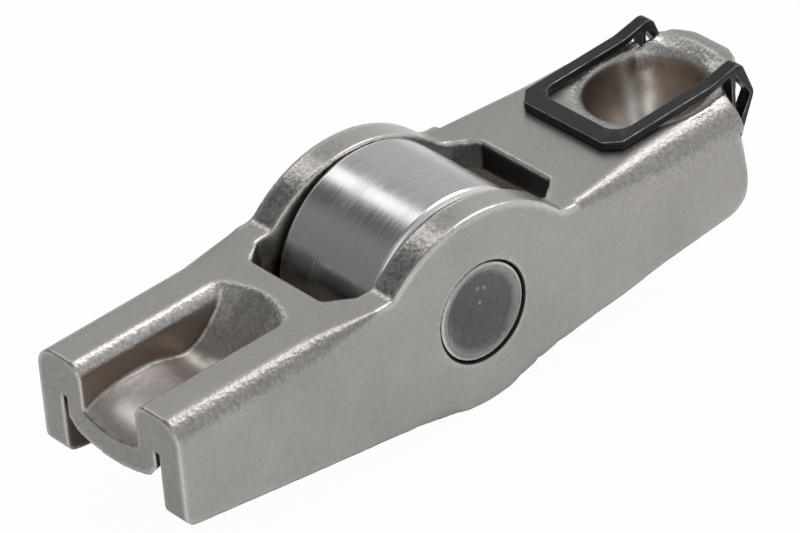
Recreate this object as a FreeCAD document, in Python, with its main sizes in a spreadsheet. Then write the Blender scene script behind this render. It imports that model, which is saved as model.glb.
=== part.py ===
import FreeCAD, Part
import math
import os

import Sketcher

# Roller finger follower, shown with its valve and adjuster side up.
# The origin is the middle of the roller's axle. X runs from the valve end to the socket end,
# Y runs along the axle, and Z points from the cam side to the valve side.

SIZES = {
    # Stamped arm, side view
    "arm_width": 16.0,
    "sheet_thickness": 2.5,
    "valve_end_reach": 28.2,
    "valve_end_top": 4.0,
    "valve_end_bottom": 4.4,
    "flange_rise": 2.4,
    "web_height": 4.7,
    "web_start": 10.6,
    "web_rise": 3.0,
    "tongue_thickness": 2.3,
    "wall_end_lean": 1.2,
    "wall_end_bottom": 3.05,
    "wall_corner_radius": 2.6,
    "toe_corner_radius": 0.9,
    "keel_start": 16.0,
    "keel_start_depth": 5.72,
    "keel_depth": 6.65,
    "keel_end": 15.0,
    "keel_end_depth": 4.6,
    "keel_blend_radius": 45.0,
    # Ears that carry the axle
    "ear_top": 8.35,
    "ear_crown_radius": 11.0,
    "ear_foot_radius": 1.6,
    "ear_bottom": 7.65,
    "ear_keel_radius": 10.0,
    "ear_overlap": 0.2,
    # Rounded outer bends
    "toe_bend_radius": 1.9,
    "flange_bend_radius": 1.7,
    "foot_bend_radius": 0.3,
    "web_bend_radius": 0.8,
    "socket_bend_radius": 2.2,
    "end_bend_radius": 3.2,
    "bend_overrun": 1.0,
    # Window for the roller
    "window_left": 11.5,
    "window_right": 10.6,
    "window_end_half": 3.9,
    "window_shoulder": 2.0,
    "window_corner_radius": 0.7,
    # Valve pad between the folded flanges
    "channel_half": 3.1,
    "channel_bend_radius": 1.25,
    "pad_thickness": 1.85,
    "pad_corner_chamfer": 0.7,
    "pad_corner_drop": 0.2,
    "underside_sag": 1.0,
    "web_underside_start": 12.4,
    "fold_gap": 0.6,
    "fold_seam_height": 0.7,
    "mouth_overrun": 0.3,
    "mouth_floor": -0.1,
    "mouth_sag": 0.6,
    "entry_place": 26.4,
    "entry_floor": 1.0,
    "entry_sag": 0.5,
    "crown_place": 23.8,
    "crown_floor": 1.4,
    "crown_sag": 0.45,
    "heel_place": 21.2,
    "heel_floor": 1.25,
    "heel_sag": 0.4,
    "crease_place": 19.0,
    "crease_floor": 0.75,
    "crease_sag": 0.4,
    "ramp_place": 15.0,
    "ramp_floor": 3.9,
    "ramp_sag": 0.9,
    "lip_place": 11.8,
    "lip_floor": 5.05,
    "lip_sag": 0.2,
    # Ball socket
    "socket_place": 23.7,
    "socket_radius": 4.7,
    "socket_height": 4.0,
    "socket_wall": 1.0,
    "socket_flare_radius": 6.0,
    "socket_flare_start": 0.35,
    "socket_throat_radius": 5.2,
    "socket_throat_rise": 1.1,
    "cup_floor_radius": 2.0,
    "cup_knee_radius": 4.6,
    "cup_knee_depth": 4.2,
    "cup_side_depth": 1.6,
    # Outline of the socket end seen from above, its reaches taken from the socket's middle
    "wall_end_reach": 3.35,
    "side_reach": 2.85,
    "shoulder_half": 5.9,
    "shoulder_reach": 2.95,
    "tongue_half": 3.7,
    "tongue_side_reach": 4.1,
    "tongue_reach": 7.2,
    "tongue_nose_half": 2.6,
    "tongue_nose_radius": 1.6,
    "nose_trim_gap": 0.1,
    # Axle, roller and needles
    "axle_diameter": 8.0,
    "axle_countersink": 0.15,
    "axle_chamfer": 0.4,
    "axle_recess": 0.1,
    "stake_ring_radius": 3.15,
    "stake_ring_depth": 0.1,
    "roller_diameter": 17.0,
    "roller_side_clearance": 0.3,
    "roller_rim_chamfer": 0.35,
    "needle_diameter": 1.5,
    "needle_clearance": 0.02,
    "needle_end_clearance": 0.35,
    # Spring clip, its places along the arm taken from the socket's middle
    "clip_thickness": 0.65,
    "clip_width": 10.8,
    "clip_arm_width": 1.1,
    "clip_bar_width": 1.55,
    "clip_front_reach": 8.3,
    "clip_seat_gap": 0.1,
    "clip_rise": 4.0,
    "clip_bend_place": 1.9,
    "clip_lift": 0.75,
    "clip_end_reach": 4.9,
    "clip_leg_setback": 1.05,
    "clip_leg_clearance": 0.5,
    "clip_leg_thickness": 0.35,
    "clip_leg_bulge": 1.2,
    "clip_leg_waist": 3.1,
    "clip_leg_length": 6.2,
    "clip_corner_radius": 1.3,
    "clip_inner_radius": 1.5,
    "clip_knee_radius": 4.0,
    "clip_inside_radius": 0.3,
    "clip_outside_radius": 0.75,
    "clip_tip_drop": 0.1,
    "clip_loop_top": 0.8,
    "clip_loop_foot": 1.2,
    "clip_loop_radius": 0.1,
}
NEEDLE_COUNT = 19
SKETCH_MARGIN = 3.0
NEAR = 0.02

doc = FreeCAD.newDocument("rocker_arm")
sheet = doc.addObject("Spreadsheet::Sheet", "Sizes")
for row, (alias, value) in enumerate(SIZES.items(), start=1):
    sheet.set(f"A{row}", alias)
    sheet.set(f"B{row}", str(value))
    sheet.setAlias(f"B{row}", alias)
doc.recompute()


class Size:
    """A length or angle: its number now, and the rule that gives it from the sheet."""

    def __init__(self, number, rule):
        self.number = number
        self.rule = rule

    def __add__(self, other):
        other = size(other)
        return Size(self.number + other.number, f"({self.rule} + {other.rule})")

    def __sub__(self, other):
        other = size(other)
        return Size(self.number - other.number, f"({self.rule} - {other.rule})")

    def __mul__(self, other):
        other = size(other)
        return Size(self.number * other.number, f"({self.rule} * {other.rule})")

    def __truediv__(self, other):
        other = size(other)
        return Size(self.number / other.number, f"({self.rule} / {other.rule})")

    def __neg__(self):
        return Size(-self.number, f"(0 - {self.rule})")


def size(value):
    """A size from an alias in the sheet, a plain number or a size."""
    if isinstance(value, Size):
        return value
    if isinstance(value, str):
        return Size(float(sheet.get(value)), f"Sizes.{value}")
    return Size(float(value), f"{float(value)}")


def root(value):
    return Size(math.sqrt(value.number), f"sqrt({value.rule})")


def slope(angle):
    return Size(math.tan(math.radians(angle.number)), f"tan({angle.rule} * 1deg)")


def bind(feature, name, value):
    """Set a property from the sheet."""
    feature.setExpression(name, value.rule)


def add_body(label):
    body = doc.addObject("PartDesign::Body", label)
    body.Label = label
    body.Placement = FreeCAD.Placement()
    return body


def origin_part(body, role):
    return next(item for item in body.Origin.OriginFeatures if item.Role == role)


def add_sketch(body, name, plane, offset=None):
    """A sketch on an origin plane, moved along the plane's normal by an offset."""
    sketch = body.newObject("Sketcher::SketchObject", name)
    sketch.AttachmentSupport = [(origin_part(body, plane), "")]
    sketch.MapMode = "FlatFace"
    if offset is not None:
        sketch.AttachmentOffset = FreeCAD.Placement(FreeCAD.Vector(0, 0, offset.number), FreeCAD.Rotation())
        bind(sketch, "AttachmentOffset.Base.z", offset)
    return sketch


def hold(sketch, kind, *where, value):
    """A driving constraint with its own sheet rule."""
    index = sketch.addConstraint(Sketcher.Constraint(kind, *where, value.number))
    sketch.setExpression(f"Constraints[{index}]", value.rule)


def hold_point(sketch, edge, end, x, y):
    hold(sketch, "DistanceX", edge, end, value=size(x))
    hold(sketch, "DistanceY", edge, end, value=size(y))


def arc_between(start, end, radius):
    """The arc from start to end with a signed radius: positive turns left."""
    chord = end - start
    middle = (start + end) / 2
    left = FreeCAD.Vector(-chord.y, chord.x, 0)
    left.normalize()
    rise = math.sqrt(radius * radius - chord.Length * chord.Length / 4)
    centre = middle + left * math.copysign(rise, radius)
    first, last = (start, end) if radius > 0 else (end, start)
    first_angle = math.atan2(first.y - centre.y, first.x - centre.x)
    last_angle = math.atan2(last.y - centre.y, last.x - centre.x)
    circle = Part.Circle(centre, FreeCAD.Vector(0, 0, 1), abs(radius))
    return Part.ArcOfCircle(circle, first_angle, last_angle)


def corner(x, y, radius=None, bow=None):
    """A corner of an outline: its place, its rounding, and the signed radius of the side after it."""
    return {"x": size(x), "y": size(y), "radius": radius and size(radius), "bow": bow and size(bow)}


def draw_outline(sketch, corners):
    """Draw a closed outline whose corners, roundings and bowed sides follow the sheet."""
    count = len(corners)
    points = [FreeCAD.Vector(item["x"].number, item["y"].number, 0) for item in corners]
    entries = []
    exits = []
    for index, item in enumerate(corners):
        here = points[index]
        if item["radius"] is None:
            entries.append(here)
            exits.append(here)
            continue
        back = (points[index - 1] - here).normalize()
        ahead = (points[(index + 1) % count] - here).normalize()
        reach = item["radius"].number / math.tan(back.getAngle(ahead) / 2)
        entries.append(here + back * reach)
        exits.append(here + ahead * reach)
    sides = []
    for index, item in enumerate(corners):
        start = exits[index]
        end = entries[(index + 1) % count]
        if item["bow"] is None:
            sides.append((sketch.addGeometry(Part.LineSegment(start, end)), 1, 2))
            continue
        edge = sketch.addGeometry(arc_between(start, end, item["bow"].number))
        sides.append((edge, 1, 2) if item["bow"].number > 0 else (edge, 2, 1))
    for index, item in enumerate(corners):
        before = sides[index - 1]
        after = sides[index]
        if item["bow"] is not None:
            hold(sketch, "Radius", after[0], value=Size(abs(item["bow"].number), f"abs({item['bow'].rule})"))
        if item["radius"] is None:
            sketch.addConstraint(Sketcher.Constraint("Coincident", before[0], before[2], after[0], after[1]))
            hold_point(sketch, after[0], after[1], item["x"], item["y"])
            continue
        start, end = entries[index], exits[index]
        turn = (points[index] - start).cross(end - points[index]).z
        rounding = arc_between(start, end, math.copysign(item["radius"].number, turn))
        edge = sketch.addGeometry(rounding)
        first, last = (1, 2) if turn > 0 else (2, 1)
        vertex = sketch.addGeometry(Part.Point(points[index]), True)
        hold_point(sketch, vertex, 1, item["x"], item["y"])
        sketch.addConstraint(Sketcher.Constraint("PointOnObject", vertex, 1, before[0]))
        sketch.addConstraint(Sketcher.Constraint("PointOnObject", vertex, 1, after[0]))
        sketch.addConstraint(Sketcher.Constraint("Tangent", before[0], before[2], edge, first))
        sketch.addConstraint(Sketcher.Constraint("Tangent", edge, last, after[0], after[1]))
        hold(sketch, "Radius", edge, value=item["radius"])


def add_pad(body, name, sketch, length):
    """A pad that is as thick on both sides of its sketch."""
    pad = body.newObject("PartDesign::Pad", name)
    pad.Profile = sketch
    pad.SideType = "Symmetric"
    pad.Length = length.number
    bind(pad, "Length", length)
    return pad


def add_pocket(body, name, sketch, width=None):
    """A pocket on both sides of its sketch, right through unless it has a width."""
    pocket = body.newObject("PartDesign::Pocket", name)
    pocket.Profile = sketch
    pocket.SideType = "Symmetric"
    if width is None:
        pocket.Type = "ThroughAll"
    else:
        pocket.Length = width.number
        bind(pocket, "Length", width)
    return pocket


def add_turned(body, name, kind, sketch):
    """A full turn of a profile about its sketch's upright axis."""
    turned = body.newObject(kind, name)
    turned.Profile = sketch
    turned.ReferenceAxis = (sketch, ["V_Axis"])
    turned.Angle = 360
    return turned


def add_mirrored(body, name, feature, role):
    mirrored = body.newObject("PartDesign::Mirrored", name)
    mirrored.Originals = [feature]
    mirrored.MirrorPlane = (origin_part(body, role), [""])
    body.Tip = mirrored
    return mirrored


def edges_where(shape, test):
    return [f"Edge{number}" for number, edge in enumerate(shape.Edges, start=1) if test(edge)]


# Shared sizes
arm_half = size("arm_width") / 2
wall_inner = arm_half - size("sheet_thickness")
axle_radius = size("axle_diameter") / 2


def flange_top(x):
    """Height of the valve end's flanges at a place along the arm."""
    return size("valve_end_top") + (x + size("valve_end_reach")) * slope(size("flange_rise"))


def web_top(x):
    """Height of the socket end's web at a place along the arm."""
    return size("web_height") + (x - size("web_start")) * slope(size("web_rise"))


def circle_half_chord(radius, height):
    """Half the width of a circle at a height above its centre."""
    return root(radius * radius - height * height)


# The arm is one stamping: flanges, ears, web and socket are all the same folded sheet.
arm = add_body("rocker_arm_body")

# Side view of the whole blank
valve_end = -size("valve_end_reach")
socket_x = size("socket_place")
nose = socket_x + size("tongue_reach")
wall_end = socket_x + size("wall_end_reach")
tongue_root = wall_end - size("wall_end_lean")
blank = add_sketch(arm, "blank_side", "XZ_Plane")
draw_outline(blank, [
    corner(valve_end, flange_top(valve_end)),
    corner(valve_end, -size("valve_end_bottom"), "toe_corner_radius"),
    corner(-size("keel_start"), -size("keel_start_depth"), "keel_blend_radius"),
    corner(0, -size("keel_depth"), "keel_blend_radius"),
    corner("keel_end", -size("keel_end_depth"), "keel_blend_radius"),
    corner(wall_end, -size("wall_end_bottom"), "wall_corner_radius"),
    corner(tongue_root, web_top(tongue_root) - size("tongue_thickness")),
    corner(nose, web_top(nose) - size("tongue_thickness")),
    corner(nose, web_top(nose)),
    corner("web_start", web_top(size("web_start"))),
    corner(0, web_top(size("web_start"))),
    corner(0, flange_top(size(0))),
])
add_pad(arm, "blank_pad", blank, size("arm_width"))

# Ears round the axle, above and below the blank
crown_centre = size("ear_top") - size("ear_crown_radius")
crown_half = circle_half_chord(size("ear_crown_radius"), size("web_height") - crown_centre)
keel_centre = size("ear_keel_radius") - size("ear_bottom")
keel_z = size("ear_overlap") - size("keel_depth")
keel_half = circle_half_chord(size("ear_keel_radius"), keel_centre - keel_z)
ears = add_sketch(arm, "ear_side", "XZ_Plane")
draw_outline(ears, [
    corner(crown_half, "web_height", bow="ear_crown_radius"),
    corner(-crown_half, "web_height"),
    corner(-keel_half, keel_z, bow="ear_keel_radius"),
    corner(keel_half, keel_z),
])
ear_pad = add_pad(arm, "ear_pad", ears, size("arm_width"))
doc.recompute()


def is_ear_foot(edge):
    """Tells the inner corners where the ears rise out of the flange and the web."""
    box = edge.BoundBox
    across = box.YLength > arm_half.number and box.XLength < NEAR
    beside = abs(abs(box.Center.x) - crown_half.number) < SIZES["ear_foot_radius"]
    return across and beside and box.Center.z > 0


feet = arm.newObject("PartDesign::Fillet", "ear_feet")
feet.Base = (ear_pad, edges_where(ear_pad.Shape, is_ear_foot))
feet.Radius = SIZES["ear_foot_radius"]
bind(feet, "Radius", size("ear_foot_radius"))

# Outline of the socket end: shoulders, notches for the clip's legs and a rounded tongue
margin = size(SKETCH_MARGIN)
outside_x = nose + margin
outside_y = arm_half + margin
clip_end = socket_x + size("clip_end_reach")
leg_inner = clip_end - size("clip_leg_setback")
notch_x = leg_inner - size("clip_leg_clearance")
side_x = socket_x + size("side_reach")
shoulder_x = socket_x + size("shoulder_reach")
tongue_side_x = socket_x + size("tongue_side_reach")
for side, mirror in (("right", 1), ("left", -1)):
    trim = add_sketch(arm, f"end_outline_{side}", "XY_Plane")
    draw_outline(trim, [
        corner(side_x, size(mirror) * outside_y),
        corner(side_x, size(mirror) * arm_half),
        corner(shoulder_x, size(mirror) * size("shoulder_half")),
        corner(notch_x, size(mirror) * size("tongue_half")),
        corner(tongue_side_x, size(mirror) * size("tongue_half"), "tongue_nose_radius"),
        corner(nose, size(mirror) * size("tongue_nose_half"), "tongue_nose_radius"),
        corner(nose, size(mirror) * size("nose_trim_gap")),
        corner(outside_x, size(mirror) * size("nose_trim_gap")),
        corner(outside_x, size(mirror) * outside_y),
    ])
    add_pocket(arm, f"end_trim_{side}", trim)

# Window for the roller, narrower at its two ends
window = add_sketch(arm, "window_outline", "XY_Plane")
window_left = -size("window_left")
window_right = size("window_right")
end_half = size("window_end_half")
shoulder = size("window_shoulder")
round_off = "window_corner_radius"
draw_outline(window, [
    corner(window_left, -end_half, round_off),
    corner(window_left + shoulder, -wall_inner, round_off),
    corner(window_right - shoulder, -wall_inner, round_off),
    corner(window_right, -end_half, round_off),
    corner(window_right, end_half, round_off),
    corner(window_right - shoulder, wall_inner, round_off),
    corner(window_left + shoulder, wall_inner, round_off),
    corner(window_left, end_half, round_off),
])
add_pocket(arm, "window", window)

# Open channel under the web of the socket end
below = -size("ear_bottom") - margin
web_thickness = size("sheet_thickness")
channel = add_sketch(arm, "web_channel_side", "XZ_Plane")
draw_outline(channel, [
    corner(0, below),
    corner(outside_x, below),
    corner(outside_x, web_top(outside_x) - web_thickness),
    corner(0, web_top(size(0)) - web_thickness),
])
add_pocket(arm, "web_channel", channel, wall_inner * 2)

# Space under the valve pad: its underside keeps the pad's thickness and sags the same way
channel_outer = wall_inner - size("fold_gap")
pad_thickness = size("pad_thickness")
mouth_x = valve_end - size("mouth_overrun")
crown_x = -size("crown_place")
crease_x = -size("crease_place")
web_underside_x = -size("web_underside_start")


def pad_underside(name):
    """Height of the pad's underside in the middle of one station."""
    return size(f"{name}_floor") - size(f"{name}_sag") - pad_thickness


def underside_section(name, x, middle):
    """The space below the pad at one station, as wide as the folded inner layers."""
    section = add_sketch(arm, f"underside_{name}", "YZ_Plane", x)
    sag = size("underside_sag")
    radius = (channel_outer * channel_outer + sag * sag) / (sag * 2)
    draw_outline(section, [
        corner(-channel_outer, below),
        corner(channel_outer, below),
        corner(channel_outer, middle + sag, bow=-radius),
        corner(-channel_outer, middle + sag),
    ])
    return section


under_pad = arm.newObject("PartDesign::SubtractiveLoft", "under_pad")
under_pad.Ruled = True
under_pad.Profile = underside_section("mouth", mouth_x, pad_underside("mouth"))
under_pad.Sections = [
    underside_section("crown", crown_x, pad_underside("crown")),
    underside_section("crease", crease_x + pad_thickness / 2, pad_underside("crease")),
    underside_section("web", web_underside_x, flange_top(web_underside_x) - web_thickness - size("underside_sag")),
]

# Underside of the short web between the ramp and the window
short_web = add_sketch(arm, "short_web_side", "XZ_Plane")
draw_outline(short_web, [
    corner(web_underside_x, below),
    corner(0, below),
    corner(0, flange_top(size(0)) - web_thickness),
    corner(web_underside_x, flange_top(web_underside_x) - web_thickness),
])
add_pocket(arm, "short_web", short_web, wall_inner * 2)

# Gaps between the skirts and the folded inner layers
for side, mirror in (("right", 1), ("left", -1)):
    gap = add_sketch(arm, f"fold_gap_{side}", "XZ_Plane", size(mirror) * -1 * (wall_inner + channel_outer) / 2)
    draw_outline(gap, [
        corner(mouth_x - margin, below),
        corner(window_left + shoulder, below),
        corner(window_left + shoulder, "fold_seam_height"),
        corner(mouth_x - margin, "fold_seam_height"),
    ])
    add_pocket(arm, f"fold_gap_cut_{side}", gap, size("fold_gap"))

# Valve channel between the flanges: a crowned pad that sags at its mouth, then a ramp
channel_half = size("channel_half")
sky = size("ear_top") + margin


def channel_section(name, x):
    """The channel's section at one station: open above, upright sides, sagging floor."""
    section = add_sketch(arm, f"channel_{name}", "YZ_Plane", x)
    floor = size(f"{name}_floor")
    sag = size(f"{name}_sag")
    floor_radius = (channel_half * channel_half + sag * sag) / (sag * 2)
    draw_outline(section, [
        corner(-channel_half, sky),
        corner(-channel_half, floor, bow=floor_radius),
        corner(channel_half, floor),
        corner(channel_half, sky),
    ])
    return section


stations = [channel_section("mouth", mouth_x)]
for name in ("entry", "crown", "heel", "crease", "ramp", "lip"):
    stations.append(channel_section(name, -size(f"{name}_place")))
valve_channel = arm.newObject("PartDesign::SubtractiveLoft", "valve_channel")
valve_channel.Profile = stations[0]
valve_channel.Sections = stations[1:]
doc.recompute()


def is_channel_rim(edge):
    """Tells the upper edges of the valve channel."""
    box = edge.BoundBox
    inside = max(box.YMax, -box.YMin) < channel_half.number + NEAR and box.XMax < window_left.number
    drops = [flange_top(size(vertex.X)).number - vertex.Z for vertex in edge.Vertexes]
    return inside and all(abs(drop) < NEAR for drop in drops)


rolled = arm.newObject("PartDesign::Fillet", "rolled_edges")
rolled.Base = (valve_channel, edges_where(valve_channel.Shape, is_channel_rim))
rolled.Radius = SIZES["channel_bend_radius"]
bind(rolled, "Radius", size("channel_bend_radius"))


def pad_corner_section(name, x):
    """The waste outside an eased lower corner of the pad at one station."""
    chamfer = size("pad_corner_chamfer")
    middle_of_gap = channel_outer + size("fold_gap") / 2
    underside = pad_underside(name) + size("underside_sag") - size("pad_corner_drop")
    section = add_sketch(arm, f"pad_corner_{name}", "YZ_Plane", x)
    draw_outline(section, [
        corner(-channel_outer, underside + chamfer),
        corner(-channel_outer + chamfer, underside),
        corner(-channel_outer + chamfer, underside - margin),
        corner(-middle_of_gap, underside - margin),
        corner(-middle_of_gap, underside + chamfer),
    ])
    return section


pad_corner = arm.newObject("PartDesign::SubtractiveLoft", "pad_corner")
pad_corner.Ruled = True
pad_corner.Profile = pad_corner_section("mouth", mouth_x)
pad_corner.Sections = [pad_corner_section("crown", crown_x), pad_corner_section("crease", crease_x)]
add_mirrored(arm, "pad_corner_mirror", pad_corner, "XZ_Plane")

# Ball socket: a drawn cup under the web, with a flared mouth
socket_radius = size("socket_radius")
cup_radius = socket_radius + size("socket_wall")
cup_centre = size("socket_height")
cup = add_sketch(arm, "cup_side", "XZ_Plane")
cup.AttachmentOffset = FreeCAD.Placement(FreeCAD.Vector(socket_x.number, 0, 0), FreeCAD.Rotation())
bind(cup, "AttachmentOffset.Base.x", socket_x)
cup_top = web_top(socket_x) - web_thickness / 2
draw_outline(cup, [
    corner(0, cup_centre - cup_radius),
    corner("cup_floor_radius", cup_centre - cup_radius),
    corner("cup_knee_radius", cup_centre - size("cup_knee_depth")),
    corner(cup_radius, cup_centre - size("cup_side_depth")),
    corner(cup_radius, cup_top),
    corner(0, cup_top),
])
cup_boss = add_turned(arm, "cup", "PartDesign::Revolution", cup)
pit = add_sketch(arm, "pit_side", "XZ_Plane")
pit.AttachmentOffset = FreeCAD.Placement(FreeCAD.Vector(socket_x.number, 0, 0), FreeCAD.Rotation())
bind(pit, "AttachmentOffset.Base.x", socket_x)
flare_z = cup_centre + size("socket_flare_start")
flare_top = web_top(outside_x)
flare_radius = size("socket_flare_radius")
draw_outline(pit, [
    corner(0, cup_centre - socket_radius, bow=socket_radius),
    corner(circle_half_chord(socket_radius, size("socket_flare_start")), flare_z),
    corner("socket_throat_radius", cup_centre + size("socket_throat_rise")),
    corner(flare_radius, flare_top),
    corner(flare_radius, sky),
    corner(0, sky),
])
add_turned(arm, "pit", "PartDesign::Groove", pit)

# Rounded outer bends, which widen away from the ears
overrun = size("bend_overrun")


def bend_section(name, x, top, radius):
    """The waste outside a bend's round at one place along the arm."""
    section = add_sketch(arm, name, "YZ_Plane", x)
    draw_outline(section, [
        corner(-arm_half, top - radius, bow=-radius),
        corner(-arm_half + radius, top),
        corner(-arm_half + radius, top + overrun),
        corner(-arm_half - overrun, top + overrun),
        corner(-arm_half - overrun, top - radius),
    ])
    return section


foot_x = crown_half + size("ear_foot_radius")
bends = {
    "valve": (flange_top, [
        ("toe", valve_end - overrun, "toe_bend_radius"),
        ("flange", -size("ramp_place"), "flange_bend_radius"),
        ("foot", -foot_x, "foot_bend_radius"),
    ]),
    "socket": (web_top, [
        ("web", foot_x, "web_bend_radius"),
        ("socket", socket_x - cup_radius, "socket_bend_radius"),
        ("end", nose + overrun, "end_bend_radius"),
    ]),
}
for name, (top_at, places) in bends.items():
    sections = [bend_section(f"{place}_bend", x, top_at(x), size(radius)) for place, x, radius in places]
    bend = arm.newObject("PartDesign::SubtractiveLoft", f"{name}_bend")
    bend.Ruled = True
    bend.Profile = sections[0]
    bend.Sections = sections[1:]
    add_mirrored(arm, f"{name}_bend_mirror", bend, "XZ_Plane")

# Axle hole through both ears, with a small countersink outside
axle_hole = add_sketch(arm, "axle_hole_outline", "XZ_Plane")
hole_edge = axle_hole.addGeometry(Part.Circle(FreeCAD.Vector(), FreeCAD.Vector(0, 0, 1), axle_radius.number))
hold_point(axle_hole, hole_edge, 3, 0, 0)
hold(axle_hole, "Radius", hole_edge, value=axle_radius)
axle_hole_cut = add_pocket(arm, "axle_hole", axle_hole)
doc.recompute()


def is_hole_mouth(edge):
    """Tells the outer edges of the axle hole."""
    box = edge.BoundBox
    at_face = box.YLength < NEAR and abs(abs(box.Center.y) - arm_half.number) < NEAR
    return at_face and abs(box.XLength - SIZES["axle_diameter"]) < NEAR and abs(box.Center.z) < NEAR


countersink = arm.newObject("PartDesign::Chamfer", "axle_countersink")
countersink.Base = (axle_hole_cut, edges_where(axle_hole_cut.Shape, is_hole_mouth))
countersink.Size = SIZES["axle_countersink"]
bind(countersink, "Size", size("axle_countersink"))

# Axle: a hardened pin, staked at both ends inside the countersinks
pin = add_body("axle_pin")
pin_end = arm_half - size("axle_recess")
pin_chamfer = size("axle_chamfer")
ring_radius = size("stake_ring_radius")
ring_floor = pin_end - size("stake_ring_depth")
pin_profile = add_sketch(pin, "pin_profile", "XY_Plane")
draw_outline(pin_profile, [
    corner(0, -ring_floor),
    corner(ring_radius, -ring_floor),
    corner(ring_radius, -pin_end),
    corner(axle_radius - pin_chamfer, -pin_end),
    corner(axle_radius, -pin_end + pin_chamfer),
    corner(axle_radius, pin_end - pin_chamfer),
    corner(axle_radius - pin_chamfer, pin_end),
    corner(ring_radius, pin_end),
    corner(ring_radius, ring_floor),
    corner(0, ring_floor),
])
add_turned(pin, "pin_turn", "PartDesign::Revolution", pin_profile)

# Roller: a ground ring that runs on a full set of needles
roller = add_body("roller")
roller_half = wall_inner - size("roller_side_clearance")
roller_radius = size("roller_diameter") / 2
needle_radius = size("needle_diameter") / 2
orbit_radius = axle_radius + size("needle_clearance") + needle_radius
bore_radius = orbit_radius + needle_radius + size("needle_clearance")
rim = size("roller_rim_chamfer")
roller_profile = add_sketch(roller, "roller_profile", "XY_Plane")
draw_outline(roller_profile, [
    corner(bore_radius, -roller_half),
    corner(roller_radius - rim, -roller_half),
    corner(roller_radius, -roller_half + rim),
    corner(roller_radius, roller_half - rim),
    corner(roller_radius - rim, roller_half),
    corner(bore_radius, roller_half),
])
add_turned(roller, "roller_turn", "PartDesign::Revolution", roller_profile)

# Needles: loose rolling pins side by side round the axle
needle_half = roller_half - size("needle_end_clearance")
needle_labels = [f"needle_{number:02d}" for number in range(1, NEEDLE_COUNT + 1)]
for number, label in enumerate(needle_labels):
    needle = add_body(label)
    needle_profile = add_sketch(needle, f"{label}_profile", "XY_Plane", orbit_radius)
    draw_outline(needle_profile, [
        corner(0, -needle_half),
        corner(needle_radius, -needle_half),
        corner(needle_radius, needle_half),
        corner(0, needle_half),
    ])
    add_turned(needle, f"{label}_turn", "PartDesign::Revolution", needle_profile)
    turn = FreeCAD.Rotation(FreeCAD.Vector(0, 1, 0), 360 * number / NEEDLE_COUNT)
    needle.Placement = FreeCAD.Placement(FreeCAD.Vector(), turn)

# Spring clip: a bent strip with its middle cut out, whose looped legs grip the tongue
clip = add_body("retaining_clip")
clip_front = socket_x - size("clip_front_reach")
clip_bend = socket_x + size("clip_bend_place")
strip = size("clip_thickness")
clip_seat = web_top(clip_front) + size("clip_seat_gap")
clip_knee = clip_seat + (clip_bend - clip_front) * slope(size("clip_rise"))
clip_end_top = clip_knee + size("clip_lift") + strip
leg_strip = size("clip_leg_thickness")
leg_foot = clip_end_top - size("clip_leg_length")
waist = clip_end_top - size("clip_leg_waist")
bulge = clip_end + size("clip_leg_bulge")
clip_side = add_sketch(clip, "clip_side", "XZ_Plane")
draw_outline(clip_side, [
    corner(clip_front, clip_seat),
    corner(clip_bend, clip_knee, "clip_knee_radius"),
    corner(leg_inner, clip_end_top - strip - size("clip_tip_drop"), "clip_inside_radius"),
    corner(leg_inner, leg_foot, leg_strip / 2),
    corner(leg_inner + leg_strip, leg_foot, leg_strip / 2.5),
    corner(bulge, waist, "clip_outside_radius"),
    corner(clip_end, clip_end_top, "clip_outside_radius"),
    corner(clip_bend, clip_knee + strip, "clip_knee_radius"),
    corner(clip_front, clip_seat + strip),
])
draw_outline(clip_side, [
    corner(leg_inner + leg_strip, clip_end_top - size("clip_loop_top"), "clip_loop_radius"),
    corner(leg_inner + leg_strip, leg_foot + size("clip_loop_foot"), "clip_loop_radius"),
    corner(bulge - leg_strip, waist, "clip_inside_radius"),
])
clip_pad = add_pad(clip, "clip_pad", clip_side, size("clip_width"))
clip_opening = add_sketch(clip, "clip_opening", "XY_Plane")
clip_half = size("clip_width") / 2
inner_half = clip_half - size("clip_arm_width")
bar_inner = clip_front + size("clip_bar_width")
draw_outline(clip_opening, [
    corner(bar_inner, -inner_half, "clip_inner_radius"),
    corner(bulge + margin, -inner_half),
    corner(bulge + margin, inner_half),
    corner(bar_inner, inner_half, "clip_inner_radius"),
])
clip_cut = add_pocket(clip, "clip_opening_cut", clip_opening)
doc.recompute()


def is_clip_corner(edge):
    """Tells the upright edges at the two front corners of the clip."""
    box = edge.BoundBox
    at_front = abs(box.Center.x - clip_front.number) < NEAR and box.XLength < NEAR
    return at_front and box.YLength < NEAR and abs(abs(box.Center.y) - clip_half.number) < NEAR


clip_corners = clip.newObject("PartDesign::Fillet", "clip_corners")
clip_corners.Base = (clip_cut, edges_where(clip_cut.Shape, is_clip_corner))
clip_corners.Radius = SIZES["clip_corner_radius"]
bind(clip_corners, "Radius", size("clip_corner_radius"))

doc.recompute()
sub_parts = [item for item in doc.Objects if item.isDerivedFrom("PartDesign::Body")]
for item in doc.Objects:
    if "Invalid" in item.State or "Error" in item.State:
        raise RuntimeError(f"{item.Name} failed: {item.State}")
os.makedirs("parts", exist_ok=True)
for item in sub_parts:
    shape = item.Shape
    if shape.isNull() or not shape.isValid():
        raise RuntimeError(f"{item.Label} has no valid shape")
    shape.exportStep(f"parts/{item.Label}.step")
    print(f"{item.Label}: {shape.Volume:.1f} mm3")
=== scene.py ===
import math

import bmesh
import bpy
import numpy as np
from mathutils import Matrix, Vector, noise


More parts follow.
